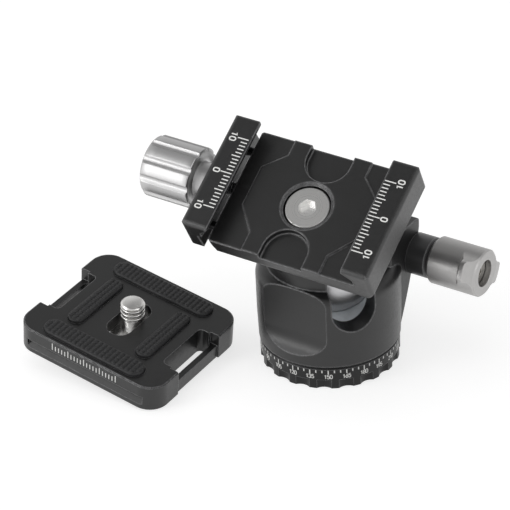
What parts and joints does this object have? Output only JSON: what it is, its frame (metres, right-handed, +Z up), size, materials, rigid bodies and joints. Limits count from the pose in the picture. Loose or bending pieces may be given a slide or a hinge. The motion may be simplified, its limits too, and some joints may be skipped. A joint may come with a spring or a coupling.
{
  "type": "tripod ball head",
  "caption": "Compact tripod ball head with panning base, drop notch and screw-knob dovetail clamp, with its separate camera plate.",
  "frame": {"origin": "centre of the base ring's flat underside, on the tripod thread's axis", "axes": "+Z up along the panning axis, +X along the main lock knob, -Y out of the flat front face"},
  "size_m": [0.1022, 0.0748, 0.0643],
  "materials": {
    "black_anodised": "satin black anodised",
    "ball_satin": "satin silver",
    "titanium_anodised": "satin grey anodised",
    "bright_aluminium": "brushed natural",
    "stainless_steel": "turned",
    "pad_rubber": "textured matt",
    "seat_nylon": "pale grey"
  },
  "bodies": {
    "base": {"pan_base": "black_anodised", "retainer": "stainless_steel"},
    "housing": {"housing": "black_anodised", "ball_seat": "seat_nylon", "lock_collar": "black_anodised", "lock_nut": "stainless_steel", "pan_drag_screw": "stainless_steel"},
    "lock_knob": {"lock_stud": "stainless_steel", "lock_knob": "titanium_anodised", "lock_knob_screw": "stainless_steel"},
    "friction_button": {"friction_button": "seat_nylon"},
    "ball": {"ball": "ball_satin"},
    "clamp": {"clamp_base": "black_anodised", "centre_screw": "stainless_steel"},
    "movable_jaw": {"movable_jaw": "black_anodised", "guide_pin_near": "stainless_steel", "guide_pin_far": "stainless_steel", "jaw_washer": "stainless_steel"},
    "clamp_knob": {"clamp_stud": "stainless_steel", "clamp_knob": "bright_aluminium"},
    "camera_plate": {"camera_plate": "black_anodised", "pad_long_near": "pad_rubber", "pad_long_far": "pad_rubber", "pad_short_left": "pad_rubber", "pad_short_right": "pad_rubber"},
    "slot_washer": {"slot_washer": "stainless_steel"},
    "camera_screw": {"camera_screw": "stainless_steel"},
    "d_ring": {"d_ring": "stainless_steel"}
  },
  "joints": [
    {"name": "pan_turn", "type": "hinge", "parent": "base", "child": "housing", "pos_m": [0, 0, 0.006], "axis": [0, 0, 1], "continuous": true},
    {"name": "lock_knob_turn", "type": "hinge", "parent": "housing", "child": "lock_knob", "pos_m": [0, 0.0168, 0.025], "axis": [1, 0, 0], "range_deg": [-90, 270]},
    {"name": "ball_lean_direction", "type": "hinge", "parent": "housing", "child": "friction_button", "pos_m": [0, 0, 0.0285], "axis": [0, 0, 1], "continuous": true},
    {"name": "ball_lean", "type": "hinge", "parent": "friction_button", "child": "ball", "pos_m": [0, 0, 0.0285], "axis": [0.9808, 0.1951, 0], "range_deg": [-30.7, 4.3]},
    {"name": "clamp_turn", "type": "hinge", "parent": "ball", "child": "clamp", "pos_m": [0, 0, 0.0285], "axis": [0.0996, -0.5007, 0.8599], "continuous": true},
    {"name": "jaw_slide", "type": "slide", "parent": "clamp", "child": "movable_jaw", "axis": [0.9942, 0.0864, -0.0649], "range_m": [-0.001, 0.0021]},
    {"name": "clamp_knob_turn", "type": "hinge", "parent": "movable_jaw", "child": "clamp_knob", "pos_m": [-0.03253, -0.01439, 0.05029], "axis": [0.9942, 0.0864, -0.0649], "range_deg": [-516, 1081]},
    {"name": "plate_move", "type": "slide", "parent": "base", "child": "camera_plate", "axis": [-0.8332, -0.553, 0], "range_m": [0, 0.03]},
    {"name": "screw_slide", "type": "slide", "parent": "camera_plate", "child": "slot_washer", "axis": [0.0201, 0.9987, 0.0466], "range_m": [-0.0053, 0.0023]},
    {"name": "screw_turn", "type": "hinge", "parent": "slot_washer", "child": "camera_screw", "pos_m": [-0.04277, -0.0271, 0.01157], "axis": [0.1487, -0.0491, 0.9877], "continuous": true},
    {"name": "ring_fold", "type": "hinge", "parent": "camera_screw", "child": "d_ring", "pos_m": [-0.04406, -0.02668, 0.00298], "axis": [0.0201, 0.9987, 0.0466], "range_deg": [-148, 16]}
  ],
  "couplings": [
    {"joint": "clamp_knob_turn", "follows": "jaw_slide", "rad_per_m": 8976}
  ]
}
